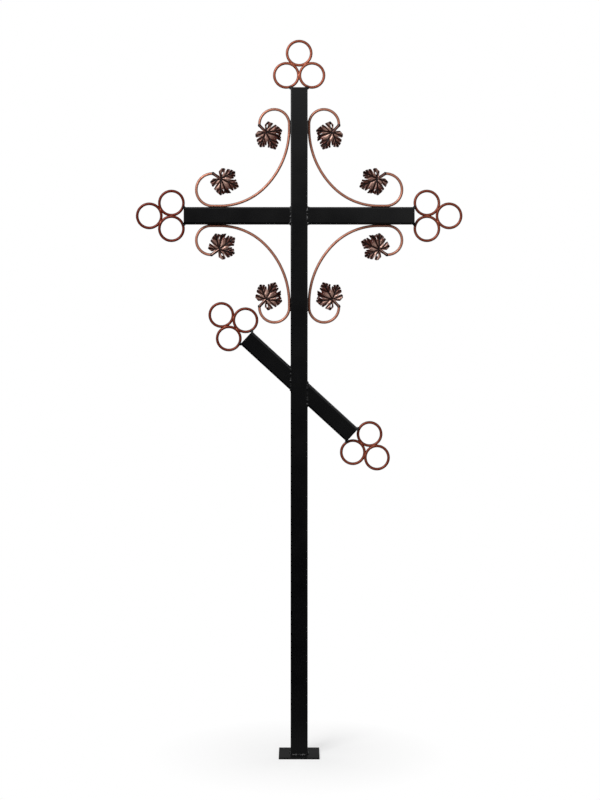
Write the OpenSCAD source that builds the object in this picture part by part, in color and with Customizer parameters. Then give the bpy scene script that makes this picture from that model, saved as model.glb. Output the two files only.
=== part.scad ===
// Orthodox grave cross: square steel tubes, rod scrolls with vine leaves, and ring trefoils.
// Millimetres. Origin at the middle of the base plate's underside, +Z up, the front faces -Y.
// Every ornament lies flat in the plane halfway through the tubes.

/* [Square tubes] */
// Outside width of the square tube that every bar is cut from
tube_w = 40; // [30:1:60]
// Wall of the square tube
tube_wall = 2; // [1.5:0.5:3]
// Outside corner radius of the square tube
tube_r = 4; // [3:0.5:6]
// Length of the post, from the base plate to its closed top
post_len = 1560; // [1530:10:1900]
// Height of the arms' middle line above the base plate
arm_height = 1260; // [1150:5:1290]
// Length of each arm, from the side of the post to its closed end
arm_len = 250; // [220:5:320]

/* [Slanted bar] */
// Height above the base plate where the slanted bar's middle line crosses the post's
slant_height = 860; // [700:5:870]
// Slope of the slanted bar, falling from left to right
slant_angle = 42.5; // [30:0.5:50]
// Length along the slanted bar from the post's middle line to each closed end
slant_reach = 168.5; // [150:0.5:220]

/* [Base plate] */
// Side of the square base plate
plate_side = 95; // [80:1:140]
// Thickness of the base plate
plate_t = 4; // [3:0.5:8]

/* [Rings] */
// Diameter of the round rod that the rings are bent from
ring_rod = 6.5; // [5:0.5:8]
// Radius of a ring's rod line on the post and the arms
ring_r = 28.3; // [24:0.1:34]
// Radius of a ring's rod line on the slanted bar
slant_ring_r = 27.2; // [24:0.1:34]
// Depth to which a ring is pressed flat where it meets the next ring
ring_press = 1.5; // [0.5:0.1:2.4]

/* [Scrolls] */
// Diameter of the round rod that the scrolls are bent from
scroll_rod = 6.5; // [5:0.5:8]
// Radius of the scroll's bend beside the post
bend_post_r = 195; // [150:1:220]
// Radius of the scroll's bend beside the arm
bend_arm_r = 150; // [130:1:190]
// Slope of the line, through both bends' centres, on which the two bends meet
bend_meet_dir = 45; // [30:1:60]
// Straight length of rod that is welded along the post
seat_post = 10; // [4:1:20]
// Straight length of rod that is welded along the arm
seat_arm = 17; // [10:1:30]
// The same on the two lower scrolls
seat_arm_lower = 21; // [10:1:30]
// Radius of the curl at the scroll's end by the post
curl_post_r = 35; // [30:0.5:42]
// Radius of the curl at the scroll's end by the arm
curl_arm_r = 38; // [30:0.5:42]
// The same on the two lower scrolls, which are bent a little tighter
curl_arm_lower_r = 34; // [30:0.5:42]
// Turn of the curl by the post
curl_post_turn = 180; // [150:1:190]
// Turn of the curl by the arm
curl_arm_turn = 178; // [150:1:190]

/* [Leaves] */
// Length of the middle lobe, from where the veins meet to its tip
leaf_len = 46; // [36:1:52]
// Thickness of the leaf at its thick middle
leaf_t = 3; // [2:0.25:5]
// Diameter of the leaf's stalk
stalk_d = 5; // [4:0.25:6]
// Length of the stalk, from the weld to where the veins meet
stalk_len = 22; // [16:1:26]
// Diameter of the weld that joins the stalk to the end of the rod
weld_d = 8; // [6:0.5:10]
// Length of that weld
weld_len = 5; // [3:0.5:7]
// Depth of the grooves pressed along the veins
vein_depth = 1.2; // [0.6:0.1:1.6]
// Width of a tooth's blunt tip
tooth_w = 2.6; // [1.5:0.1:4]
// Depth of the cuts between the teeth
tooth_cut = 8; // [4:0.5:10]
// Direction of the stalk from the veins' meeting place, on the leaf by the post
stalk_post_dir = 47; // [30:1:60]
// Direction of the stalk from the veins' meeting place, on the leaf by the arm
stalk_arm_dir = 34; // [20:1:60]
// Direction of the middle lobe on the leaf by the post
leaf_post_dir = 241; // [220:1:260]
// Direction of the middle lobe on the leaf by the arm
leaf_arm_dir = 204; // [190:1:225]
// The same on the lower left scroll, whose leaf is welded on at a turn
leaf_arm_lower_left_dir = 216; // [190:1:225]

/* [Hidden] */
$fn = 64;

black_paint = "#1b1b1d";
copper_patina = "#8a4a36";
leaf_patina = "#3a211c";

half_w = tube_w / 2;
arm_z = plate_t + arm_height;
slant_z = plate_t + slant_height;
post_top_z = plate_t + post_len;

// The scroll, in a frame with x away from the post and y away from the arm: two large bends that
// meet smoothly, each running into a straight seat on its tube and then into a curl.
rod_r = scroll_rod / 2;
bend_apart = bend_post_r - bend_arm_r;
bend_post = [rod_r + bend_post_r, rod_r + bend_arm_r + bend_apart * sin(bend_meet_dir)];
bend_arm = [rod_r + bend_post_r - bend_apart * cos(bend_meet_dir), rod_r + bend_arm_r];
bend_meet = bend_arm - bend_arm_r * [cos(bend_meet_dir), sin(bend_meet_dir)];
curl_post = [rod_r + curl_post_r, bend_post[1] + seat_post];
// how much thicker the rod is, and for how long, at the dressed weld where the two bends meet
join_bead = 0.1;
join_len = 1.5;
// direction from each curl's centre to its cut end
curl_post_end = 180 - curl_post_turn;
curl_arm_end = -90 + curl_arm_turn;

// The end by the arm, which is not the same above the arm, sz = 1, and below it, sz = -1
function arm_seat(sz) = sz < 0 ? seat_arm_lower : seat_arm;
function arm_curl_r(sz) = sz < 0 ? curl_arm_lower_r : curl_arm_r;
function arm_curl(sz) = [bend_arm[0] + arm_seat(sz), rod_r + arm_curl_r(sz)];
function arm_leaf_dir(sx, sz) = sx < 0 && sz < 0 ? leaf_arm_lower_left_dir : leaf_arm_dir;

// The leaf's lobes: direction from the middle lobe, length as a share of the middle lobe, teeth.
lobes = [
    [-104, 0.52, 3],
    [-47, 0.83, 5],
    [0, 1, 5],
    [40, 0.79, 3],
    [68, 0.83, 3],
    [126, 0.54, 3]
];
// Angle between the teeth of the middle lobe, which is wider on a shorter lobe
tooth_step = 9.5;
// How much shorter each tooth is than the one before it, going away from a lobe's tip
tooth_drop = 0.1;
// How far from the stalk the cut between two lobes starts, as a share of the shorter lobe
lobe_cut = 0.42;
// Half-width of the leaf where the stalk joins it
neck_r = 5;
// Direction of the neck's two corners, on either side of the stalk
neck_dir = 165;

function on_circle(a, r) = [r * cos(a), r * sin(a)];

// Direction of a lobe's tooth, and its length, by its place from the lobe's tip
function tooth_dir(lobe, place) = lobe[0] + place * tooth_step / sqrt(lobe[1]);
function tooth_len(lobe, place) = leaf_len * lobe[1] * (1 - tooth_drop * abs(place));
function last_place(lobe) = (lobe[2] - 1) / 2;

// A tooth ends in a blunt tip that is tooth_w wide.
function tooth(a, r) =
    let (half = atan(tooth_w / 2 / r))
    [on_circle(a - half, r), on_circle(a + half, r)];

// The cut between a tooth and the next one
function cut(lobe, place) =
    on_circle(tooth_dir(lobe, place + 0.5), tooth_len(lobe, place + 0.5) - tooth_cut * lobe[1]);

// The deep cut between a lobe and the next one
function sinus(lobe, next) =
    on_circle(
        (tooth_dir(lobe, last_place(lobe)) + tooth_dir(next, -last_place(next))) / 2,
        lobe_cut * leaf_len * min(lobe[1], next[1]));

function leaf_outline() = [
    on_circle(-neck_dir, neck_r),
    for (i = [0 : len(lobes) - 1]) each [
        for (place = [-last_place(lobes[i]) : last_place(lobes[i])]) each [
            each tooth(tooth_dir(lobes[i], place), tooth_len(lobes[i], place)),
            if (place < last_place(lobes[i])) cut(lobes[i], place)
        ],
        if (i < len(lobes) - 1) sinus(lobes[i], lobes[i + 1])
    ],
    on_circle(neck_dir, neck_r)
];

module base_plate() {
    color(black_paint)
        translate([-plate_side / 2, -plate_side / 2, 0])
            cube([plate_side, plate_side, plate_t]);
}

// Rounded square, from two crossed rectangles and four corner circles.
module rounded_square(w, r) {
    square([w, w - 2 * r], center = true);
    square([w - 2 * r, w], center = true);
    for (sx = [-1, 1], sy = [-1, 1])
        translate([sx * (w / 2 - r), sy * (w / 2 - r)])
            circle(r = r);
}

// A length of square tube along +Z, open at z = 0 and closed by a welded, dressed end at the top.
module square_tube(l) {
    difference() {
        linear_extrude(height = l)
            rounded_square(tube_w, tube_r);
        translate([0, 0, -1])
            linear_extrude(height = l - tube_wall + 1)
                rounded_square(tube_w - 2 * tube_wall, tube_r - tube_wall);
    }
}

module post() {
    color(black_paint)
        translate([0, 0, plate_t])
            square_tube(post_len);
}

// side = 1 for the right arm, -1 for the left.
module arm(side) {
    color(black_paint)
        translate([side * half_w, 0, arm_z])
            rotate([0, side * 90, 0])
                square_tube(arm_len);
}

// side = 1 for the lower right half, -1 for the upper left. Its inner end is cut to the post's side.
module slant(side) {
    color(black_paint)
        difference() {
            translate([0, 0, slant_z])
                rotate([0, side * 90 + slant_angle, 0])
                    square_tube(slant_reach);
            translate([side > 0 ? half_w - 2 * tube_w : -half_w, -tube_w, slant_z - 2 * tube_w])
                cube([2 * tube_w, 2 * tube_w, 4 * tube_w]);
        }
}

// A ring of round rod, flat in the XZ plane.
module ring(r) {
    rotate([90, 0, 0])
        rotate_extrude()
            translate([r, 0])
                circle(d = ring_rod, $fn = 32);
}

// One ring of the trefoil on a tube's end. The tube's end is at (x, z) and points in direction a.
// The pair of rings (side = 1 or -1) touch the end's edges, and the third (side = 0) nests against
// both. Each ring is pressed flat where it meets the other two.
module trefoil_ring(r, x, z, a, side) {
    outer = r + ring_rod / 2;
    apart = outer - ring_press;
    seat = sqrt(pow(outer, 2) - pow(apart - half_w, 2));
    along = side == 0 ? seat + apart * sqrt(3) : seat;
    flat_dirs = side == 0 ? [-150, 150] : [-90 * side, -30 * side];
    color(copper_patina)
        translate([x + along * cos(a) - side * apart * sin(a), 0, z + along * sin(a) + side * apart * cos(a)])
            difference() {
                ring(r);
                for (dir = flat_dirs)
                    rotate([0, -a - dir, 0])
                        translate([apart, -ring_rod, -r])
                            cube([ring_rod, 2 * ring_rod, 2 * r]);
            }
}

module top_ring(side) trefoil_ring(ring_r, 0, post_top_z, 90, side);
module left_ring(side) trefoil_ring(ring_r, -half_w - arm_len, arm_z, 180, side);
module right_ring(side) trefoil_ring(ring_r, half_w + arm_len, arm_z, 0, side);
module slant_upper_ring(side)
    trefoil_ring(
        slant_ring_r, -slant_reach * cos(slant_angle), slant_z + slant_reach * sin(slant_angle),
        180 - slant_angle, side);
module slant_lower_ring(side)
    trefoil_ring(
        slant_ring_r, slant_reach * cos(slant_angle), slant_z - slant_reach * sin(slant_angle),
        -slant_angle, side);

// Places a flat piece in one of the four corners between the post and the arms.
module in_corner(sx, sz) {
    translate([sx * half_w, 0, arm_z + sz * half_w])
        rotate([90, 0, 0])
            mirror([sx < 0 ? 1 : 0, 0, 0])
                mirror([0, sz < 0 ? 1 : 0, 0])
                    children();
}

// A bend of the scroll's rod about centre c, starting in direction a and turning by an angle.
module rod_bend(c, r, a, turn) {
    translate([c[0], c[1], 0])
        rotate([0, 0, a])
            rotate_extrude(angle = turn)
                translate([r, 0])
                    circle(r = rod_r, $fn = 32);
}

module scroll(sx, sz) {
    color(copper_patina)
        in_corner(sx, sz) {
            rod_bend(bend_post, bend_post_r, 180, bend_meet_dir);
            rod_bend(bend_arm, bend_arm_r, -90, bend_meet_dir - 90);
            translate([bend_meet[0], bend_meet[1], 0])
                rotate([90, 0, bend_meet_dir])
                    cylinder(h = join_len, d = scroll_rod + join_bead, center = true, $fn = 32);
            translate([rod_r, bend_post[1], 0])
                rotate([-90, 0, 0])
                    cylinder(h = seat_post, r = rod_r, $fn = 32);
            translate([bend_arm[0], rod_r, 0])
                rotate([0, 90, 0])
                    cylinder(h = arm_seat(sz), r = rod_r, $fn = 32);
            rod_bend(curl_post, curl_post_r, 180, -curl_post_turn);
            rod_bend(arm_curl(sz), arm_curl_r(sz), -90, curl_arm_turn);
        }
}

// The blade, flat on z = 0 with its veins meeting at the origin and its middle lobe along +x.
module leaf_blade() {
    difference() {
        translate([0, 0, -leaf_t / 2])
            linear_extrude(height = leaf_t)
                polygon(leaf_outline());
        for (lobe = lobes)
            rotate([0, 0, lobe[0]])
                translate([0, 0, leaf_t / 2])
                    rotate([45, 0, 0])
                        translate([0, -vein_depth / sqrt(2), -vein_depth / sqrt(2)])
                            cube([leaf_len * lobe[1] - tooth_w, vein_depth * sqrt(2), vein_depth * sqrt(2)]);
    }
}

// A leaf on the end of a curl: c and r are the curl's centre and radius, and its cut end lies in
// direction a_end. turn = 1 where the curl runs on to larger directions, -1 to smaller. The stalk
// comes back from the veins in direction stalk_dir, and flip turns the leaf over.
module leaf(sx, sz, c, r, a_end, turn, stalk_dir, lobe_dir, flip) {
    foot = c + on_circle(a_end, r) + on_circle(a_end + turn * 90, weld_len / 2);
    heart = foot - on_circle(stalk_dir, stalk_len);
    color(leaf_patina)
        in_corner(sx, sz) {
            translate([heart[0], heart[1], 0])
                rotate([0, 0, lobe_dir])
                    mirror([0, flip ? 1 : 0, 0])
                        leaf_blade();
            translate([heart[0], heart[1], 0])
                rotate([0, 0, stalk_dir])
                    rotate([0, 90, 0])
                        cylinder(h = stalk_len, d = stalk_d, $fn = 32);
            translate([c[0] + r * cos(a_end), c[1] + r * sin(a_end), 0])
                rotate([0, 0, a_end + turn * 90])
                    rotate([0, 90, 0])
                        cylinder(h = weld_len, d = weld_d, $fn = 32);
        }
}

module leaf_post(sx, sz)
    leaf(sx, sz, curl_post, curl_post_r, curl_post_end, -1, stalk_post_dir, leaf_post_dir, true);
module leaf_arm(sx, sz)
    leaf(sx, sz, arm_curl(sz), arm_curl_r(sz), curl_arm_end, 1, stalk_arm_dir, arm_leaf_dir(sx, sz), false);

base_plate();
post();
arm(-1);  // arm_left
arm(1);  // arm_right
slant(-1);  // slant_upper
slant(1);  // slant_lower
top_ring(1);  // ring_top_left
top_ring(-1);  // ring_top_right
top_ring(0);  // ring_top_outer
left_ring(-1);  // ring_left_upper
left_ring(1);  // ring_left_lower
left_ring(0);  // ring_left_outer
right_ring(1);  // ring_right_upper
right_ring(-1);  // ring_right_lower
right_ring(0);  // ring_right_outer
slant_upper_ring(-1);  // ring_slant_upper_right
slant_upper_ring(1);  // ring_slant_upper_left
slant_upper_ring(0);  // ring_slant_upper_outer
slant_lower_ring(1);  // ring_slant_lower_right
slant_lower_ring(-1);  // ring_slant_lower_left
slant_lower_ring(0);  // ring_slant_lower_outer
scroll(-1, 1);  // scroll_upper_left
scroll(1, 1);  // scroll_upper_right
scroll(-1, -1);  // scroll_lower_left
scroll(1, -1);  // scroll_lower_right
leaf_post(-1, 1);  // leaf_upper_left_post
leaf_arm(-1, 1);  // leaf_upper_left_arm
leaf_post(1, 1);  // leaf_upper_right_post
leaf_arm(1, 1);  // leaf_upper_right_arm
leaf_post(-1, -1);  // leaf_lower_left_post
leaf_arm(-1, -1);  // leaf_lower_left_arm
leaf_post(1, -1);  // leaf_lower_right_post
leaf_arm(1, -1);  // leaf_lower_right_arm
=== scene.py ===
"""Orthodox grave cross of black enamelled steel tube with copper-patinated rings, scrolls and leaves."""

import math

import bmesh
import bpy
import numpy as np
from mathutils import Matrix, Vector, noise


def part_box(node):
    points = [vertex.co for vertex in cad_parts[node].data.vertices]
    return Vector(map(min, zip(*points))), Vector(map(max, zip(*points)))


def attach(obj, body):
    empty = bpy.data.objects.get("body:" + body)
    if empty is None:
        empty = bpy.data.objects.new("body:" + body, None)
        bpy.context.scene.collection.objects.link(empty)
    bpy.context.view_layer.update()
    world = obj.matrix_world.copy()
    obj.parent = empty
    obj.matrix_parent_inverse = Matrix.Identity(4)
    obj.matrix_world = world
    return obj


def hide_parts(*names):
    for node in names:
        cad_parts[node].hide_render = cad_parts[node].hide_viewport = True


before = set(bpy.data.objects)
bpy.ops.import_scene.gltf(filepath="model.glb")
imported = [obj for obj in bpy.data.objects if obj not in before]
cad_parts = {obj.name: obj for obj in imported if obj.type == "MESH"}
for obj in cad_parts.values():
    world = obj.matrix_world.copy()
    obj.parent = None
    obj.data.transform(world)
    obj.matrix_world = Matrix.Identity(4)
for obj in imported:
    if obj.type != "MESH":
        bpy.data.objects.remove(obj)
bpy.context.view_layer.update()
MM = 0.001

# ------------------------------------------------------------------------------------ base plate
# A square of 4 mm steel plate, sheared to size, its edges just broken. Like every tube it is
# sprayed with black gloss enamel, which lies smooth and shows the faint skin of a sprayed coat.

PLATE_EDGE = 0.5 * MM
ENAMEL_BLACK = "#050506"
ENAMEL_SKIN = 3 * MM
ENAMEL_CLOUD = 60 * MM


def linear(colour):
    """An sRGB hex value as the linear colour that a shader takes."""
    channels = [int(colour[i : i + 2], 16) / 255 for i in (1, 3, 5)]
    return [c / 12.92 if c <= 0.04045 else ((c + 0.055) / 1.055) ** 2.4 for c in channels] + [1]


def add_node(tree, kind, inputs=(), **settings):
    """A node with its settings and its inputs, by place or by name: each a value or an output."""
    made = tree.nodes.new("ShaderNode" + kind)
    for name, value in settings.items():
        setattr(made, name, value)
    for name, value in inputs.items() if isinstance(inputs, dict) else enumerate(inputs):
        if isinstance(value, bpy.types.NodeSocket):
            tree.links.new(value, made.inputs[name])
        else:
            made.inputs[name].default_value = value
    return made


def new_material(name):
    """A material, its node tree, its shader and the piece's own coordinates."""
    material = bpy.data.materials.new(name)
    material.use_nodes = True
    tree = material.node_tree
    place = add_node(tree, "TexCoord").outputs["Object"]
    return material, tree, tree.nodes["Principled BSDF"], place


def enamel_material():
    """Black gloss enamel, sprayed: deep black with a clear, slightly soft reflection."""
    material, tree, shader, place = new_material("black gloss enamel")
    cloud = add_node(tree, "TexNoise", {"Vector": place, "Scale": 1 / ENAMEL_CLOUD}).outputs["Fac"]
    skin = add_node(tree, "TexNoise", {"Vector": place, "Scale": 1 / ENAMEL_SKIN}).outputs["Fac"]
    softness = add_node(tree, "MapRange", (cloud, 0.3, 0.7, 0.12, 0.18))
    relief = add_node(tree, "Bump", {"Height": skin, "Strength": 1.0, "Distance": 0.02 * MM})
    shader.inputs["Base Color"].default_value = linear(ENAMEL_BLACK)
    shader.inputs["IOR"].default_value = 1.5
    tree.links.new(softness.outputs[0], shader.inputs["Roughness"])
    tree.links.new(relief.outputs[0], shader.inputs["Normal"])
    return material


def piece(name, shape, material, slot, *replaced):
    """Makes an object of a bmesh, in its place, fixed to the cross."""
    mesh = bpy.data.meshes.new(name)
    shape.to_mesh(mesh)
    shape.free()
    mesh.materials.append(material)
    made = bpy.data.objects.new(name, mesh)
    bpy.context.scene.collection.objects.link(made)
    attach(made, "root")
    if replaced:
        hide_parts(*replaced)
    return made


enamel = enamel_material()

low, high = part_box("base_plate")
plate_top = high.z
plate = bmesh.new()
bmesh.ops.create_cube(plate, size=1.0)
bmesh.ops.scale(plate, vec=high - low, verts=plate.verts)
bmesh.ops.translate(plate, vec=(low + high) / 2, verts=plate.verts)
bmesh.ops.bevel(
    plate, geom=plate.edges[:], offset=PLATE_EDGE, segments=2, profile=0.5, affect="EDGES", material=-1
)
piece("plate", plate, enamel, "black_paint", "base_plate")

# ------------------------------------------------------------------------- post, arms, slanted bar
# Square steel tube, 40 mm with rounded corners, closed at the ends and enamelled black. The
# solids already have their true shape, so they only take the finish.

for name in ("post", "arm_left", "arm_right", "slant_upper", "slant_lower"):
    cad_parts[name].material_slots[0].material = enamel

post_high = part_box("post")[1]
half_tube = post_high.x
post_top = post_high.z
arm_low, arm_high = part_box("arm_right")
arm_z = (arm_low.z + arm_high.z) / 2
arm_end = arm_high.x

# ------------------------------------------------------------------------------- welds on the tubes
# Arc-weld beads: one round the post's foot, and one round each butt joint, where it fills the
# groove beside the post's rounded corners. They are brushed down and enamelled with the tubes.

FOOT_BEAD = 3.6 * MM
JOINT_BEAD = 3.4 * MM
SLANT_EDGE_BEAD = JOINT_BEAD * 0.8
BEAD_STEP = 0.5 * MM
BEAD_SIDES = 12
# a bead's mean size, its ripple and its lumps, as shares of its radius
BEAD_MEAN = 0.9
RIPPLE = 0.05
RIPPLE_PITCH = 1.7 * MM
LUMPS = 0.25
LUMP_PITCH = 9 * MM
FINE_LUMPS = 0.08
FINE_PITCH = 3 * MM
# the share of its size that a bead has at its ends, and how fast it grows to the whole
BEAD_END = 0.5
BEAD_GROWTH = 1.2
# where the beads lie: off the tube's face, in from its rounded corners, and sunk in the grooves
FOOT_STAND = 0.3 * MM
CORNER_INSET = 3 * MM
GROOVE_INSET = 2.3 * MM
SIDE_SINK = 0.4 * MM
EDGE_SINK = 0.8 * MM
CORNER_BLOB = (2.4 * MM, 2.2 * MM, 4.6 * MM)


def tilt_to(direction):
    """The turn that points +Z along a direction."""
    return Vector(direction).to_track_quat("Z", "Y").to_matrix().to_4x4()


def grow(shape, edges):
    """Extrudes a ring of edges where it lies and gives back the new ring's corners and edges."""
    grown = bmesh.ops.extrude_edge_only(shape, edges=edges)["geom"]
    verts = [g for g in grown if isinstance(g, bmesh.types.BMVert)]
    edges = [g for g in grown if isinstance(g, bmesh.types.BMEdge) and all(v in verts for v in g.verts)]
    return verts, edges


def bead(shape, start, end, radius, lumps=LUMPS):
    """A rippled weld bead from start to end, as a row of rings that swell and shrink."""
    start, end = Vector(start), Vector(end)
    along = end - start
    steps = max(6, round(along.length / BEAD_STEP))
    ring = bmesh.ops.create_circle(
        shape,
        cap_ends=True,
        segments=BEAD_SIDES,
        radius=radius * BEAD_END,
        matrix=Matrix.Translation(start) @ tilt_to(along),
    )["verts"]
    edges = [e for e in shape.edges if e.verts[0] in ring and e.verts[1] in ring]
    for step in range(1, steps + 1):
        ring, edges = grow(shape, edges)
        middle = start + along * step / steps
        run = along.length * step / steps
        ripple = RIPPLE * abs(math.sin(math.pi * run / RIPPLE_PITCH))
        lump = lumps * noise.noise(middle / LUMP_PITCH) + FINE_LUMPS * noise.noise(middle / FINE_PITCH)
        close = min(1, BEAD_END + BEAD_GROWTH * min(step, steps - step) * BEAD_STEP / radius)
        size = radius * close * (BEAD_MEAN + ripple + lump)
        for vert in ring:
            spoke = vert.co - (middle - along / steps)
            spoke -= along * spoke.dot(along) / along.length_squared
            vert.co = middle + spoke.normalized() * size
    bmesh.ops.edgeloop_fill(shape, edges=edges)
    bmesh.ops.recalc_face_normals(shape, faces=shape.faces)


def blob(shape, centre, sizes, seed, along=(0, 0, 1)):
    """A lumpy drop of weld metal, its last size lying along a direction."""
    made = bmesh.ops.create_icosphere(shape, subdivisions=3, radius=1.0)["verts"]
    place = Matrix.Translation(centre) @ tilt_to(along)
    for vert in made:
        lump = 1 + 0.16 * noise.noise(vert.co * 1.7 + Vector((seed, 0, 0)))
        vert.co = place @ Vector([c * s * lump for c, s in zip(vert.co, sizes)])


def smooth(made, angle=40):
    """Shades a piece smooth, but keeps edges that are sharper than an angle."""
    made.data.shade_smooth()
    made.data.set_sharp_from_angle(angle=math.radians(angle))
    return made


foot = bmesh.new()
foot_line = half_tube + FOOT_STAND
corner = half_tube - CORNER_INSET
for side in (-1, 1):
    bead(foot, (-corner, side * foot_line, plate_top), (corner, side * foot_line, plate_top), FOOT_BEAD)
    bead(foot, (side * foot_line, -corner, plate_top), (side * foot_line, corner, plate_top), FOOT_BEAD)
smooth(piece("weld_foot", foot, enamel, "black_paint"), 60)

joints = bmesh.new()
groove = half_tube - GROOVE_INSET
for side in (-1, 1):
    x = side * (half_tube - SIDE_SINK)
    for face in (-1, 1):
        y = face * groove
        bead(joints, (x, y, arm_z - groove), (x, y, arm_z + groove), JOINT_BEAD)
        x_edge = side * (half_tube - EDGE_SINK)
        z = arm_z + face * (half_tube - EDGE_SINK)
        bead(joints, (x_edge, -corner, z), (x_edge, corner, z), JOINT_BEAD)

# the slanted bar crosses the post halfway between the highest and lowest corners of its halves
slant_mid = Vector((0, 0, (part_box("slant_upper")[1].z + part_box("slant_lower")[0].z) / 2))
SLANT = math.radians(42.5)
SLANT_REACH = 168.5 * MM
slant_rise = half_tube / math.cos(SLANT)
for side in (-1, 1):
    x = side * (half_tube - SIDE_SINK)
    middle = slant_mid.z - side * half_tube * math.tan(SLANT)
    for face in (-1, 1):
        y = face * groove
        bead(joints, (x, y, middle - slant_rise + MM), (x, y, middle + slant_rise - MM), JOINT_BEAD)
        z = middle + face * slant_rise
        bead(joints, (x, -corner, z), (x, corner, z), SLANT_EDGE_BEAD)
# the weld is thickest at the arms' corners, where each run started and stopped, and lies slantwise
for side in (-1, 1):
    for face in (-1, 1):
        for level in (-1, 1):
            x = side * (half_tube + MM)
            y = face * (half_tube - 1.4 * MM)
            z = arm_z + level * (half_tube - 2.5 * MM)
            slant = -level if side * face * level > 0 else 0.6 * level
            seed = 70 + side + 3 * face + 9 * level
            blob(joints, (x, y, z), CORNER_BLOB, seed, (side, 0, slant))
smooth(piece("weld_joints", joints, enamel, "black_paint"), 60)

# ------------------------------------------------------------------------------------------ rings
# Bent from 6.5 mm round rod and welded shut, pressed flat where they meet, then three to each tube
# end: two against its edges, one nesting outside. Copper patina is rubbed thinly over black.

RING_STEPS = 120
RING_ROD = 3.25 * MM
RING_PRESS = 1.5 * MM
RING_R = 28.3 * MM
SLANT_RING_R = 27.2 * MM
ROD_SIDES = 20
COPPER_LIGHT = "#cf9780"
COPPER = "#ae5f46"
COPPER_DARK = "#8b432d"
# the deeper red painted on the trefoils as shade
COPPER_PAINTED_SHADE_RED = "#651c09"
# painted shade for the rods' sides as seen from the front
COPPER_PAINTED_SIDE_SHADE = "#200904"
COPPER_WELD = "#b96a52"
STREAK = 30 * MM
RUB_GRAIN = 1.6 * MM
GRAIN_SHARE = 0.1
# painted side shade: full within the first depth from the rod's middle, gone beyond the second
SIDE_SHADE_DEPTH = (1.2 * MM, 3.0 * MM)
RING_ENAMEL_REACH = 4.5 * MM


def patina_material():
    """Copper patina paste over black primer: a satin red-brown whose highlights turn pale pink, with
    painted shade along the rods' sides.
    """
    material, tree, shader, place = new_material("copper patina over black")
    streak = add_node(tree, "TexNoise", {"Vector": place, "Scale": 1 / STREAK}).outputs["Fac"]
    fine = add_node(tree, "TexNoise", {"Vector": place, "Scale": 1 / RUB_GRAIN}).outputs["Fac"]
    deep = add_node(tree, "Attribute", attribute_name="deep").outputs["Fac"]
    paint = add_node(tree, "Attribute", attribute_name="paint").outputs["Fac"]
    # copper in long soft patches, with a pale grain
    patch = add_node(tree, "MapRange", (streak, 0.35, 0.65)).outputs[0]
    grain = add_node(tree, "MapRange", (fine, 0.4, 0.8, 0.0, GRAIN_SHARE)).outputs[0]
    tint = {0: patch, 6: linear(COPPER_DARK), 7: linear(COPPER)}
    tint = add_node(tree, "Mix", tint, data_type="RGBA").outputs[2]
    tint = {0: grain, 6: tint, 7: linear(COPPER_LIGHT)}
    tint = add_node(tree, "Mix", tint, data_type="RGBA").outputs[2]
    # paler where the shade tone is below zero, a deeper red as painted shade where it is above, and
    # bright on the welds
    paler = add_node(tree, "MapRange", (deep, -1.0, 0.0, 1.0, 0.0)).outputs[0]
    tint = {0: paler, 6: tint, 7: linear(COPPER_LIGHT)}
    tint = add_node(tree, "Mix", tint, data_type="RGBA").outputs[2]
    tint = {0: deep, 6: tint, 7: linear(COPPER_PAINTED_SHADE_RED)}
    tint = add_node(tree, "Mix", tint, data_type="RGBA").outputs[2]
    fresh = add_node(tree, "MapRange", (paint, -1.0, 0.0, 0.8, 0.0)).outputs[0]
    tint = {0: fresh, 6: tint, 7: linear(COPPER_WELD)}
    tint = add_node(tree, "Mix", tint, data_type="RGBA").outputs[2]
    # painted shade: the rod's sides as seen from the front, near the middle of its depth, are darkened to
    # stand in for the shade on a round rod's edges
    depth = add_node(tree, "SeparateXYZ", (place,)).outputs["Y"]
    depth = add_node(tree, "Math", (depth,), operation="ABSOLUTE").outputs[0]
    clear_of_side_shade = add_node(tree, "MapRange", (depth, *SIDE_SHADE_DEPTH)).outputs[0]
    tint = {0: clear_of_side_shade, 6: linear(COPPER_PAINTED_SIDE_SHADE), 7: tint}
    tint = add_node(tree, "Mix", tint, data_type="RGBA").outputs[2]
    # black with a ragged edge beside the tubes
    ragged = add_node(tree, "MapRange", (fine, 0.2, 0.8, -0.12, 0.12)).outputs[0]
    ragged = add_node(tree, "Math", (paint, ragged), operation="ADD").outputs[0]
    black = add_node(tree, "MapRange", (ragged, 0.35, 0.65)).outputs[0]
    tint = {0: black, 6: tint, 7: linear(ENAMEL_BLACK)}
    tint = add_node(tree, "Mix", tint, data_type="RGBA").outputs[2]
    metal = add_node(tree, "MapRange", (black, 0.0, 1.0, 0.4, 0.0)).outputs[0]
    softness = add_node(tree, "MapRange", (streak, 0.3, 0.7, 0.42, 0.34)).outputs[0]
    relief = add_node(tree, "Bump", {"Height": fine, "Strength": 1.0, "Distance": 0.008 * MM})
    tree.links.new(tint, shader.inputs["Base Color"])
    tree.links.new(metal, shader.inputs["Metallic"])
    tree.links.new(softness, shader.inputs["Roughness"])
    tree.links.new(relief.outputs[0], shader.inputs["Normal"])
    shader.inputs["Specular IOR Level"].default_value = 0.3
    return material


def rod_section(shape, centre, along, radius):
    """A ring of edges round a rod's middle line, to be spun or extruded along it."""
    verts = bmesh.ops.create_circle(
        shape, segments=ROD_SIDES, radius=radius, matrix=Matrix.Translation(centre) @ tilt_to(along)
    )["verts"]
    return list(dict.fromkeys(e for v in verts for e in v.link_edges))


def near_tube(point):
    """Distance from a point to the post or an arm, whichever is nearer."""
    x, z = abs(point.x), point.z
    to_post = math.hypot(max(x - half_tube, 0), max(z - post_top, 0))
    to_arm = math.hypot(max(x - arm_end, 0), max(abs(z - arm_z) - half_tube, 0))
    a = abs(math.cos(SLANT) * point.x - math.sin(SLANT) * (z - slant_mid.z))
    b = abs(math.sin(SLANT) * point.x + math.cos(SLANT) * (z - slant_mid.z))
    to_slant = math.hypot(max(a - SLANT_REACH, 0), max(b - half_tube, 0))
    return min(to_post, to_arm, to_slant)


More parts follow.
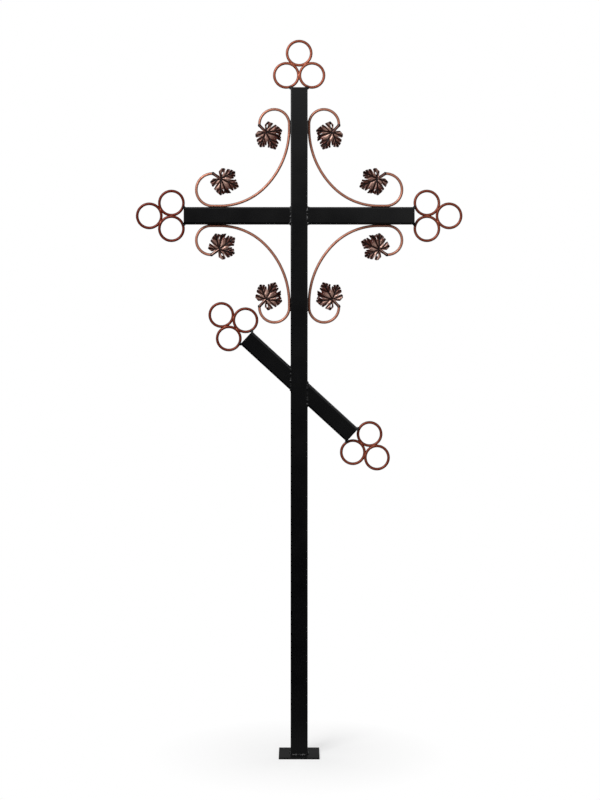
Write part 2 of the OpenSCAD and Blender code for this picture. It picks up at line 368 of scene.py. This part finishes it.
def set_paint(shape, reach, depth):
    """Marks where the enamel runs on from the tubes, half at reach, and the piece's painted shade tone.
    """
    layer = shape.verts.layers.float.new("paint")
    deep = shape.verts.layers.float.new("deep")
    for vert in shape.verts:
        vert[deep] = depth
        vert[layer] = max(0, 1 - near_tube(vert.co) / reach / 2)


patina = patina_material()
SLANT_WAY = Vector((math.cos(SLANT), 0, -math.sin(SLANT)))
slant_end = SLANT_WAY * SLANT_REACH
# each trefoil's rings, its painted shade tone, which darkens it to a deeper red, most on the left
# and least at the top as if lit from the upper right, its tube's end, the way that the end points,
# and the radius of the rings' rod line
TREFOILS = {
    "ring_top": (("_left", "_right", "_outer"), 0.1, Vector((0, 0, post_top)), (0, 0, 1), RING_R),
    "ring_left": (("_lower", "_upper", "_outer"), 0.95, Vector((-arm_end, 0, arm_z)), (-1, 0, 0), RING_R),
    "ring_right": (("_upper", "_lower", "_outer"), 0.5, Vector((arm_end, 0, arm_z)), (1, 0, 0), RING_R),
    "ring_slant_upper": (
        ("_left", "_right", "_outer"), 0.8, slant_mid - slant_end, -SLANT_WAY, SLANT_RING_R
    ),
    "ring_slant_lower": (
        ("_right", "_left", "_outer"), 0.6, slant_mid + slant_end, SLANT_WAY, SLANT_RING_R
    ),
}


def ring_middles(end, out, radius):
    """The middles of a trefoil's rings: the pair on the tube's end and the outer one."""
    out = Vector(out)
    across = Vector((-out.z, 0, out.x))
    apart = radius + RING_ROD - RING_PRESS
    seat = math.sqrt((radius + RING_ROD) ** 2 - (apart - half_tube) ** 2)
    pair = end + out * seat
    return [pair + across * apart, pair - across * apart, pair + out * apart * math.sqrt(3)]


def press_flat(shape, plane_at, way):
    """Takes off what lies beyond a plane and closes the shape with a flat."""
    everything = shape.verts[:] + shape.edges[:] + shape.faces[:]
    cut = bmesh.ops.bisect_plane(
        shape, geom=everything, plane_co=plane_at, plane_no=way, clear_outer=True
    )
    rim = [g for g in cut["geom_cut"] if isinstance(g, bmesh.types.BMEdge)]
    bmesh.ops.edgeloop_fill(shape, edges=rim)


for name, (parts, depth, end, out, radius) in TREFOILS.items():
    middles = ring_middles(end, out, radius)
    for part, middle in zip(parts, middles):
        others = [m for m in middles if m != middle]
        ring = bmesh.new()
        section = rod_section(ring, middle + Vector((radius, 0, 0)), (0, 0, 1), RING_ROD)
        bmesh.ops.spin(
            ring,
            geom=section,
            cent=middle,
            axis=(0, 1, 0),
            angle=2 * math.pi,
            steps=RING_STEPS,
            use_merge=True,
        )
        for other in others:
            press_flat(ring, (middle + other) / 2, other - middle)
        bmesh.ops.recalc_face_normals(ring, faces=ring.faces)
        set_paint(ring, RING_ENAMEL_REACH, depth)
        smooth(piece(name + part + "_rod", ring, patina, "copper_patina", name + part))

# ------------------------------------------------------------------------------------- ring welds
# A blob of weld joins each ring to its neighbours, rubbed with the same copper, and a blob of
# enamelled weld fixes each inner ring to the tube's edge.

RING_WELD = (3.2 * MM, 3.6 * MM, 6.5 * MM)
RING_SEAT_WELD = (3.2 * MM, 3.2 * MM, 3.6 * MM)

copper_welds = bmesh.new()
black_welds = bmesh.new()
for number, (_, _, end, out, radius) in enumerate(TREFOILS.values()):
    first, second, outer = ring_middles(end, out, radius)
    for index, (a, b) in enumerate(((first, second), (first, outer), (second, outer))):
        across = (a - b).cross(Vector((0, 1, 0)))
        blob(copper_welds, (a + b) / 2, RING_WELD, number * 3 + index, across)
    edge = (first - second).normalized() * half_tube
    for index, touch in enumerate((end + edge, end - edge)):
        blob(black_welds, touch, RING_SEAT_WELD, 40 + number * 2 + index)
fresh = copper_welds.verts.layers.float.new("paint")
for vert in copper_welds.verts:
    vert[fresh] = -1
smooth(piece("weld_rings", copper_welds, patina, "copper_patina"), 60)
smooth(piece("weld_ring_seats", black_welds, enamel, "black_paint"), 60)

# ---------------------------------------------------------------------------------------- scrolls
# Four C-scrolls, cold-bent from one 6.5 mm rod each: two wide bends meet at 45 degrees and run into
# a short straight on each tube, where they are welded, and then into a curl at both ends.

SCROLL_ROD = 3.25 * MM
BEND_POST = 195 * MM
BEND_ARM = 150 * MM
BEND_MEET = math.radians(45)
SEAT_POST = 10 * MM
CURL_POST = 35 * MM
CURL_POST_TURN = math.radians(180)
CURL_ARM_TURN = math.radians(178)
SCROLL_STEP = 2.5 * MM
# the straight on the arm and the curl after it: the two lower scrolls are bent a little tighter
ARM_ENDS = {"upper": (17 * MM, 38 * MM), "lower": (21 * MM, 34 * MM)}
# the enamel hardly runs on from the tubes, and the copper is painted paler
SCROLL_ENAMEL_REACH = 2.2 * MM
SCROLL_PALER = -0.45
# the two weld beads of a seat: their size and lumps, their place, and how far each runs both ways
SEAT_BEAD = 1.5 * MM
SEAT_LUMPS = 0.35
SEAT_ASIDE = 1.7 * MM
SEAT_DEPTH = 0.8 * MM
POST_RUN = (17 * MM, 14 * MM)
ARM_RUN = (18 * MM, 16 * MM)

# the centres of the bends and of the curl on the post, from the corner between post and arm
bend_apart = BEND_POST - BEND_ARM
post_bend = Vector(
    (SCROLL_ROD + BEND_POST, 0, SCROLL_ROD + BEND_ARM + bend_apart * math.sin(BEND_MEET))
)
arm_bend = Vector(
    (SCROLL_ROD + BEND_POST - bend_apart * math.cos(BEND_MEET), 0, SCROLL_ROD + BEND_ARM)
)
post_curl = Vector((SCROLL_ROD + CURL_POST, 0, post_bend.z + SEAT_POST))
post_curl_end = math.pi - CURL_POST_TURN
arm_curl_end = CURL_ARM_TURN - math.pi / 2


def arm_curl(name):
    """The seat on the arm, the curl's radius and its centre, for a scroll or a leaf by its name."""
    seat, radius = ARM_ENDS[name.split("_")[1]]
    return seat, radius, Vector((arm_bend.x + seat, 0, SCROLL_ROD + radius))


def spin_on(shape, section, centre, turn, radius):
    """Carries a rod's section round a centre and gives back its new end."""
    steps = max(4, round(abs(turn) * radius / SCROLL_STEP))
    spun = bmesh.ops.spin(shape, geom=section, cent=centre, axis=(0, -1, 0), angle=turn, steps=steps)
    return [g for g in spun["geom_last"] if isinstance(g, bmesh.types.BMEdge)]


def run_on(shape, section, way):
    """Carries a rod's section straight on."""
    steps = max(2, round(way.length / SCROLL_STEP))
    for _ in range(steps):
        verts, section = grow(shape, section)
        bmesh.ops.translate(shape, vec=way / steps, verts=verts)
    return section


def corner_matrix(name):
    """Moves a piece from the corner's own frame to its corner, mirrored as the corner needs."""
    sx = -1 if "left" in name else 1
    sz = -1 if "lower" in name else 1
    place = Matrix.Translation((sx * half_tube, 0, arm_z + sz * half_tube))
    return place @ Matrix.Diagonal((sx, 1, sz, 1)), sx * sz < 0


def in_corner(shape, name):
    """Moves a piece to its corner, its faces pointing the same way out as before."""
    matrix, mirrored = corner_matrix(name)
    bmesh.ops.transform(shape, matrix=matrix, verts=shape.verts)
    if mirrored:
        bmesh.ops.reverse_faces(shape, faces=shape.faces)


scrolls = [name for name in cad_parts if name.startswith("scroll_")]
for name in scrolls:
    scroll = bmesh.new()
    seat_arm, curl_arm, arm_centre = arm_curl(name)
    start = post_curl + CURL_POST * Vector((math.cos(post_curl_end), 0, math.sin(post_curl_end)))
    section = rod_section(scroll, start, (0, 0, 1), SCROLL_ROD)
    bmesh.ops.edgeloop_fill(scroll, edges=section)
    section = spin_on(scroll, section, post_curl, CURL_POST_TURN, CURL_POST)
    section = run_on(scroll, section, Vector((0, 0, -SEAT_POST)))
    section = spin_on(scroll, section, post_bend, BEND_MEET, BEND_POST)
    section = spin_on(scroll, section, arm_bend, math.pi / 2 - BEND_MEET, BEND_ARM)
    section = run_on(scroll, section, Vector((seat_arm, 0, 0)))
    section = spin_on(scroll, section, arm_centre, CURL_ARM_TURN, curl_arm)
    bmesh.ops.edgeloop_fill(scroll, edges=section)
    bmesh.ops.recalc_face_normals(scroll, faces=scroll.faces)
    in_corner(scroll, name)
    set_paint(scroll, SCROLL_ENAMEL_REACH, SCROLL_PALER)
    smooth(piece(name + "_rod", scroll, patina, "copper_patina", name))

    seats = bmesh.new()
    for face in (-1, 1):
        y = face * SEAT_ASIDE
        z = post_bend.z + SEAT_POST / 2
        start, end = (SEAT_DEPTH, y, z - POST_RUN[0]), (SEAT_DEPTH, y, z + POST_RUN[1])
        bead(seats, start, end, SEAT_BEAD, SEAT_LUMPS)
        x = arm_bend.x + seat_arm / 2
        start, end = (x - ARM_RUN[0], y, SEAT_DEPTH), (x + ARM_RUN[1], y, SEAT_DEPTH)
        bead(seats, start, end, SEAT_BEAD, SEAT_LUMPS)
    in_corner(seats, name)
    smooth(piece(name + "_welds", seats, enamel, "black_paint"), 60)

# ----------------------------------------------------------------------------------------- leaves
# Vine leaves stamped from thin steel: veins pressed in as grooves, the blade swelling between
# them, every tooth a blunt finger. Blacked, then copper rubbed over the high places, painted paler
# towards the leaf's middle as a painted highlight.

LEAF = 46 * MM
LEAF_MARGIN = 6 * MM
LEAF_GRID = 0.45 * MM
LEAF_WALL = 1.8 * MM
EDGE_ROUND = 1.1 * MM
SIDE_VEIN = math.tan(math.radians(38))
# the blade's swell between veins and the groove on them, as height and half width, and its bow
SWELL, SWELL_REACH = 2.0 * MM, 2.6 * MM
GROOVE, GROOVE_REACH = 0.4 * MM, 0.7 * MM
BOW = 2.2 * MM
LOBE_SPREAD = 30
# the blade's rim is drawn from the grid to the true edge in a few short pulls
RIM_PULLS = 3
RIM_PULL = 0.8
STALK = 22 * MM
STALK_R = 4.0 * MM
STALK_SIDES = 18
STALK_STEPS = 22
STALK_WELD = (4.0 * MM, 3.8 * MM, 4.0 * MM)
# each lobe's own tip and then its side teeth, as degrees from the middle lobe and millimetres
# from where the veins meet, and how far the lobe curls forward
LOBES = (
    ((-97, 25.4), ((-127, 17.6),), 1.5),
    ((-50, 37), ((-74, 29), (-62, 33), (-35, 34), (-28.5, 29.5)), -1.0),
    ((0, 45.8), ((-20, 35.5), (-10, 39.6), (10.5, 42), (20.5, 38.5)), 1.0),
    ((43, 36.5), ((30.5, 40),), -1.4),
    ((67, 38), ((54, 35.6), (81, 32.7), (99, 28)), 1.2),
    ((139, 25.4), ((112, 26), (156, 17.5)), -1.2),
)
RIM_CORNERS = ((-108, 24), (-87, 24.5), (180, 2))
# the slot in one ear lobe, on leaves by the arm and on the turned-over leaves by the post
HOLES = {False: ((-97, 12), (-97, 15.4), 1.2 * MM), True: ((139, 12.5), (139, 17.5), 1.2 * MM)}
TOOTH_SLIT = (5.0 * MM, 0.15 * MM, 0.65 * MM)
LOBE_SLIT = (12.5 * MM, 0.35 * MM, 2.2 * MM)
LEAF_BLACK = "#0c0706"
LEAF_BROWN = "#522a22"
# pale pink-grey copper, which is also a painted highlight
LEAF_COPPER_HIGHLIGHT = "#bd9a8c"


def polar(degrees, millimetres):
    """A point in the leaf's plane by its bearing and distance from where the veins meet."""
    turn = math.radians(degrees)
    return np.array((math.cos(turn), math.sin(turn))) * millimetres * MM


def leaf_veins():
    """Each vein as its lobe, root and tip: a side vein leaves its lobe's own vein at 38 degrees."""
    veins = []
    for lobe, (own, teeth, _) in enumerate(LOBES):
        tip = polar(*own)
        axis = tip / np.linalg.norm(tip)
        side = np.array((-axis[1], axis[0]))
        veins.append((lobe, tip * 0, tip))
        for tooth in teeth:
            end = polar(*tooth)
            along = end @ axis - abs(end @ side) / SIDE_VEIN
            veins.append((lobe, axis * max(along, own[1] * 0.16 * MM), end))
    return veins


def from_line(points, a, b):
    """Distance of each point from a line, and how much of the line is left beyond it."""
    line = b - a
    t = np.clip((points - a) @ line / (line @ line), 0, 1)
    return np.linalg.norm(points - a - t[:, None] * line, axis=1), (1 - t) * np.linalg.norm(line)


def leaf_rim(points):
    """Signed distance to the polygon through all the teeth's tips, negative inside."""
    tips = [tooth for own, teeth, _ in LOBES for tooth in (own, *teeth)]
    rim = [polar(*tip) for tip in sorted([*tips, *RIM_CORNERS])]
    inside = np.zeros(len(points), bool)
    gap = np.full(len(points), 1.0)
    for a, b in zip(rim, rim[1:] + rim[:1]):
        gap = np.minimum(gap, from_line(points, a, b)[0])
        rise = (b[1] - a[1]) or 1e-12
        cross = (b[0] - a[0]) * (points[:, 1] - a[1]) / rise + a[0]
        inside ^= ((a[1] > points[:, 1]) != (b[1] > points[:, 1])) & (points[:, 0] < cross)
    return np.where(inside, -gap, gap)


def leaf_form(points, hole):
    """Distances to the nearest vein and main vein, and signed distance to the edge with its slits."""
    veins = leaf_veins()
    gaps, left = zip(*[from_line(points, a, b) for _, a, b in veins])
    gaps, left = np.array(gaps), np.array(left)
    lobes = np.array([v[0] for v in veins])
    order = np.argsort(gaps, axis=0)
    near, next_near = order[0], order[1]
    row = np.arange(len(points))
    to_vein, to_next = gaps[near, row], gaps[next_near, row]
    beyond = np.maximum(left[near, row], left[next_near, row])
    same = lobes[near] == lobes[next_near]
    depth, narrow, flare = [np.where(same, a, b) for a, b in zip(TOOTH_SLIT, LOBE_SLIT)]
    half = narrow + flare * np.clip(1 - beyond / depth, 0, 1) ** 1.5
    slit = np.minimum(half - (to_next - to_vein) / 2, (depth - beyond) * 0.8)
    start, end, half_slot = hole
    slot = half_slot - from_line(points, polar(*start), polar(*end))[0]
    main = np.array([tuple(v[1]) == (0, 0) for v in veins])
    to_main = gaps[main].min(axis=0)
    return to_vein, to_main, np.maximum.reduce([leaf_rim(points) - MM, slit, slot])


def leaf_relief(points, to_vein):
    """Height of the blade's middle surface: swelling between veins, grooved on them, lobes curling."""
    reach = np.linalg.norm(points, axis=1) / LEAF
    bearing = np.degrees(np.arctan2(points[:, 1], points[:, 0]))
    lift = np.zeros(len(points))
    for (direction, length), _, rise in LOBES:
        near = np.clip(1 - np.abs(bearing - direction) / LOBE_SPREAD, 0, 1)
        lift += near * rise * MM * np.clip(reach * LEAF / MM / length, 0, 1) ** 2
    swell = SWELL * (1 - np.exp(-((to_vein / SWELL_REACH) ** 2)))
    groove = GROOVE * np.exp(-((to_vein / GROOVE_REACH) ** 2))
    return swell - groove + lift - BOW * reach**2


def leaf_blade(hole):
    """The blade as a front and a back sheet, x along the middle lobe and z to the front."""
    blade = bmesh.new()
    size = LEAF + LEAF_MARGIN
    cells = round(2 * size / LEAF_GRID)
    bmesh.ops.create_grid(blade, x_segments=cells, y_segments=cells, size=size)
    flat = np.array([v.co[:2] for v in blade.verts])
    edge = leaf_form(flat, hole)[2]
    inside = {v.index for v, e in zip(blade.verts, edge) if e < 0.1 * MM}
    outer = [f for f in blade.faces if not all(v.index in inside for v in f.verts)]
    bmesh.ops.delete(blade, geom=outer, context="FACES")
    rim = [v for v in blade.verts if v.is_boundary]
    for _ in range(RIM_PULLS):
        spot = np.array([v.co[:2] for v in rim])
        step = 0.05 * MM
        here = leaf_form(spot, hole)[2]
        slope_x = (leaf_form(spot + (step, 0), hole)[2] - here) / step
        slope_y = (leaf_form(spot + (0, step), hole)[2] - here) / step
        steep = np.maximum(np.hypot(slope_x, slope_y), 0.5)
        for vert, h, gx, gy, s in zip(rim, here, slope_x, slope_y, steep):
            vert.co.x -= RIM_PULL * h * gx / s**2
            vert.co.y -= RIM_PULL * h * gy / s**2
    flat = np.array([v.co[:2] for v in blade.verts])
    to_vein, to_main, edge = leaf_form(flat, hole)
    relief = leaf_relief(flat, to_vein)
    depth = np.clip(-edge / EDGE_ROUND, 0, 1)
    wall = LEAF_WALL * np.sqrt(1 - (1 - depth) ** 2)
    rub = blade.verts.layers.float.new("rub")
    reach = np.linalg.norm(flat, axis=1) / LEAF
    # copper on the high places, partly rubbed finish and partly painted highlight: fuller towards the
    # leaf's middle
    high = np.minimum((to_vein / MM - 0.35) / 1.7, (to_main / MM - 0.9) / 1.6)
    high = np.clip(high, 0, 1) * np.interp(reach, (0.3, 0.62), (1.0, 0.5))
    for vert, share in zip(blade.verts, high):
        vert[rub] = float(share)
    back = bmesh.ops.duplicate(blade, geom=blade.verts[:] + blade.edges[:] + blade.faces[:])
    behind = [g for g in back["geom"] if isinstance(g, bmesh.types.BMVert)]
    copies = set(behind)
    front = [v for v in blade.verts if v not in copies]
    for vert, z, w in zip(front, relief, wall):
        vert.co.z = z + w / 2
    # known fault: the copies come in another order than the originals, so the back sheet gets the
    # heights of other vertices and comes out rough, and the rims of the sheets stay apart
    for vert, z, w in zip(behind, relief, wall):
        vert.co.z = z - w / 2
    bmesh.ops.reverse_faces(blade, faces=[g for g in back["geom"] if isinstance(g, bmesh.types.BMFace)])
    bmesh.ops.remove_doubles(blade, verts=blade.verts, dist=0.02 * MM)
    return blade


def leaf_material():
    """Blacked steel with copper paste rubbed over the high places, satin; the palest copper is a painted
    highlight.
    """
    material, tree, shader, place = new_material("blacked leaf with rubbed copper")
    grit = {"Vector": place, "Scale": 1 / RUB_GRAIN, "Detail": 3.0, "Roughness": 0.6}
    grit = add_node(tree, "TexNoise", grit).outputs["Fac"]
    patch = add_node(tree, "TexNoise", {"Vector": place, "Scale": 1 / STREAK}).outputs["Fac"]
    rub = add_node(tree, "Attribute", attribute_name="rub").outputs["Fac"]
    gritty = add_node(tree, "MapRange", (grit, 0.3, 0.7, 0.6, 1.1)).outputs[0]
    patchy = add_node(tree, "MapRange", (patch, 0.35, 0.65, 0.7, 1.1)).outputs[0]
    worn = add_node(tree, "Math", (rub, gritty), operation="MULTIPLY").outputs[0]
    worn = add_node(tree, "Math", (worn, patchy), operation="MULTIPLY").outputs[0]
    brown = add_node(tree, "MapRange", (worn, 0.0, 0.4)).outputs[0]
    copper = add_node(tree, "MapRange", (worn, 0.4, 0.9)).outputs[0]
    tint = {0: brown, 6: linear(LEAF_BLACK), 7: linear(LEAF_BROWN)}
    tint = add_node(tree, "Mix", tint, data_type="RGBA").outputs[2]
    tint = {0: copper, 6: tint, 7: linear(LEAF_COPPER_HIGHLIGHT)}
    tint = add_node(tree, "Mix", tint, data_type="RGBA").outputs[2]
    metal = add_node(tree, "MapRange", (worn, 0.0, 0.7, 0.05, 0.6)).outputs[0]
    softness = add_node(tree, "MapRange", (grit, 0.3, 0.7, 0.3, 0.42)).outputs[0]
    relief = add_node(tree, "Bump", {"Height": grit, "Strength": 1.0, "Distance": 0.05 * MM})
    tree.links.new(tint, shader.inputs["Base Color"])
    tree.links.new(metal, shader.inputs["Metallic"])
    tree.links.new(softness, shader.inputs["Roughness"])
    tree.links.new(relief.outputs[0], shader.inputs["Normal"])
    shader.inputs["Specular IOR Level"].default_value = 0.25
    return material


def leaf_stalk(shape, length):
    """The stalk, a ridged rod that runs back from the veins and thickens towards the weld."""
    layer = shape.verts.layers.float["rub"]
    ring = bmesh.ops.create_circle(
        shape, cap_ends=True, segments=STALK_SIDES, radius=STALK_R, matrix=tilt_to((1, 0, 0))
    )["verts"]
    edges = list(dict.fromkeys(e for v in ring for e in v.link_edges))
    before = set(shape.verts) - set(ring)
    for _ in range(STALK_STEPS):
        verts, edges = grow(shape, edges)
        bmesh.ops.translate(shape, vec=(length / STALK_STEPS, 0, 0), verts=verts)
    bmesh.ops.edgeloop_fill(shape, edges=edges)
    made = [v for v in shape.verts if v not in before]
    for vert in made:
        along = vert.co.x / length
        turn = math.atan2(vert.co.z, vert.co.y)
        ridge = abs(math.cos(1.5 * turn + 0.8 * along))
        size = (0.88 + 0.12 * along + 0.04 * math.sin(6 * along)) * (0.84 + 0.16 * ridge)
        vert.co.y *= size
        vert.co.z *= size
        vert[layer] = 0.8 * ridge**2
    faces = list(dict.fromkeys(f for v in made for f in v.link_faces))
    bmesh.ops.recalc_face_normals(shape, faces=faces)
    return made


blades = {flipped: leaf_blade(hole) for flipped, hole in HOLES.items()}
leaf_finish = leaf_material()
WELD = 5 * MM
# for the leaf on each curl: its end's direction, its way of turning, the stalk's direction, the
# middle lobe's direction and whether the leaf is turned over; one leaf is welded on at a turn
LEAF_PLACES = {"post": (post_curl_end, -1, 47, 241, True), "arm": (arm_curl_end, 1, 34, 204, False)}
TURNED_LEAF = {"leaf_lower_left_arm": 216}


def around(degrees, length=1.0):
    """A step in the cross's plane."""
    return Vector((math.cos(math.radians(degrees)), 0, math.sin(math.radians(degrees)))) * length


for name in [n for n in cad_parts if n.startswith("leaf_")]:
    end, turn, stalk_way, lobe_way, flipped = LEAF_PLACES[name.rsplit("_", 1)[1]]
    lobe_way = TURNED_LEAF.get(name, lobe_way)
    curl, radius = post_curl, CURL_POST
    if not flipped:
        _, radius, curl = arm_curl(name)
    end = math.degrees(end)
    tip = curl + around(end, radius)
    foot_at = tip + around(end + turn * 90, WELD / 2)
    heart = foot_at - around(stalk_way, STALK)
    leaf = blades[flipped].copy()
    flat_to_upright = Matrix.Rotation(math.pi / 2, 4, "X")
    turn_over = Matrix.Diagonal((1, -1 if flipped else 1, 1, 1))
    if flipped:
        bmesh.ops.reverse_faces(leaf, faces=leaf.faces)
    lobe_turn = Matrix.Rotation(math.radians(lobe_way), 4, "Z")
    bmesh.ops.transform(leaf, matrix=lobe_turn @ turn_over, verts=leaf.verts)
    stalk = leaf_stalk(leaf, STALK)
    bmesh.ops.transform(leaf, matrix=Matrix.Rotation(math.radians(stalk_way), 4, "Z"), verts=stalk)
    bmesh.ops.transform(leaf, matrix=Matrix.Translation(heart) @ flat_to_upright, verts=leaf.verts)
    blob(leaf, foot_at, STALK_WELD, len(name))
    in_corner(leaf, name)
    smooth(piece(name + "_stamped", leaf, leaf_finish, "leaf_patina", name), 50)

# ----------------------------------------------------------------------------------------- studio
# A white room with a pale floor. One soft box stands high in front on the left, a weaker one
# nearer the side, and two weak ones behind the cross.

WHITE = (1, 1, 1, 1)
FLOOR_SIZE = 0.75

floor = bmesh.new()
bmesh.ops.create_circle(floor, cap_ends=True, segments=96, radius=FLOOR_SIZE)
floor_mesh = bpy.data.meshes.new("floor")
floor.to_mesh(floor_mesh)
floor.free()
floor_object = bpy.data.objects.new("floor", floor_mesh)
bpy.context.scene.collection.objects.link(floor_object)
paper, tree, shader, place = new_material("white floor")
shader.inputs["Base Color"].default_value = linear("#f4f4f4")
shader.inputs["Roughness"].default_value = 0.9
path = add_node(tree, "LightPath").outputs
mirrored = (path["Is Glossy Ray"], path["Is Transmission Ray"])
mirrored = add_node(tree, "Math", mirrored, operation="MAXIMUM").outputs[0]
distance = add_node(tree, "VectorMath", (place,), operation="LENGTH").outputs["Value"]
sheen = add_node(tree, "MapRange", (distance, 0.1, 0.45, 0.15, 0.06)).outputs[0]
strength = add_node(tree, "Mix", {0: mirrored, 2: 1.0, 3: sheen}).outputs[0]
glow = add_node(tree, "Emission", {"Strength": strength, "Color": WHITE})
fade = add_node(tree, "MapRange", (distance, 0.1, 0.35, 0.55, 1.0)).outputs[0]
seen = add_node(tree, "Math", (fade, path["Is Camera Ray"]), operation="MULTIPLY").outputs[0]
share = add_node(tree, "Math", (seen, mirrored), operation="MAXIMUM").outputs[0]
blend = add_node(tree, "MixShader", (share, shader.outputs[0], glow.outputs[0]))
tree.links.new(blend.outputs[0], tree.nodes["Material Output"].inputs["Surface"])
floor_mesh.materials.append(paper)


def soft_box(name, place, aim, size, watts):
    """A square soft box that points at a place."""
    light = bpy.data.lights.new(name, "AREA")
    light.shape = "SQUARE"
    light.size = size
    light.energy = watts
    made = bpy.data.objects.new(name, light)
    made.location = place
    made.rotation_euler = (Vector(aim) - Vector(place)).to_track_quat("-Z", "Y").to_euler()
    bpy.context.scene.collection.objects.link(made)


soft_box("soft_box_left_front", (-1.5, -2.6, 3.1), (0, 0, 1.1), 1.4, 85)
soft_box("soft_box_left", (-2.2, -1.6, 2.2), (0, 0, 1.0), 2.2, 18)
soft_box("soft_box_behind_left", (-1.6, 2.2, 2.4), (0, 0, 1.0), 2.4, 16)
soft_box("soft_box_behind_right", (1.8, 2.0, 1.8), (0, 0, 1.0), 2.4, 13)

world = bpy.data.worlds.new("white room")
bpy.context.scene.world = world
world.use_nodes = True
tree = world.node_tree
background = tree.nodes["Background"]
path = add_node(tree, "LightPath").outputs
way = add_node(tree, "TexCoord").outputs["Generated"]
way = add_node(tree, "SeparateXYZ", (way,)).outputs

# what the black gloss shows: a dark room with a pale ceiling and a pale wall on the right
ahead = add_node(tree, "MapRange", (way["Z"], -0.12, -0.05, 0.0, 0.08)).outputs[0]
ceiling = add_node(tree, "MapRange", (way["Z"], 0.065, 0.12, 0.0, 0.46)).outputs[0]
overhead = add_node(tree, "MapRange", (way["Z"], 0.3, 0.5, 1.0, 0.35)).outputs[0]
ceiling = add_node(tree, "Math", (ceiling, overhead), operation="MULTIPLY").outputs[0]
wall = add_node(tree, "MapRange", (way["X"], 0.048, 0.07, 0.0, 0.35)).outputs[0]
wall_end = add_node(tree, "MapRange", (way["X"], 0.1, 0.25, 1.0, 0.2)).outputs[0]
wall = add_node(tree, "Math", (wall, wall_end), operation="MULTIPLY").outputs[0]
room = add_node(tree, "Math", (ahead, ceiling), operation="ADD").outputs[0]
room = add_node(tree, "Math", (room, wall), operation="ADD").outputs[0]
front = add_node(tree, "MapRange", (way["Y"], -0.2, 0.5, 1.0, 0.085)).outputs[0]
room = add_node(tree, "Math", (room, front), operation="MULTIPLY").outputs[0]
# and, straight behind, a trace of the backdrop
behind = add_node(tree, "MapRange", (way["Y"], 0.9, 0.99)).outputs[0]
backdrop = add_node(tree, "MapRange", (way["Z"], 0.12, 0.24, 0.03, 0.14)).outputs[0]
backdrop = add_node(tree, "Math", (behind, backdrop), operation="MULTIPLY").outputs[0]
room = add_node(tree, "Math", (room, backdrop), operation="MAXIMUM").outputs[0]
mirrored = (path["Is Glossy Ray"], path["Is Transmission Ray"])
mirrored = add_node(tree, "Math", mirrored, operation="MAXIMUM").outputs[0]
inside = add_node(tree, "Mix", {0: mirrored, 2: 0.42, 3: room}).outputs[0]
shown = add_node(tree, "Mix", {0: path["Is Camera Ray"], 2: inside, 3: 1.0}).outputs[0]
tree.links.new(shown, background.inputs["Strength"])
background.inputs["Color"].default_value = WHITE

# ----------------------------------------------------------------------------------------- camera
# Level and straight in front of the cross, just under its arms, so that neither their tops nor
# their undersides show; the view is shifted down to take in the foot.

CAMERA_BACK = 4.19
CAMERA_HEIGHT = 1.08
CAMERA_ASIDE = 0.002
LENS = 80.3
VIEW_DOWN = -0.1322

camera_data = bpy.data.cameras.new("camera")
camera_data.lens = LENS
camera_data.sensor_width = 36
camera_data.shift_y = VIEW_DOWN
camera = bpy.data.objects.new("camera", camera_data)
camera.location = (CAMERA_ASIDE, -CAMERA_BACK, CAMERA_HEIGHT)
camera.rotation_euler = (math.pi / 2, 0, 0)
bpy.context.scene.collection.objects.link(camera)
bpy.context.scene.camera = camera
bpy.context.scene.view_settings.view_transform = "Standard"
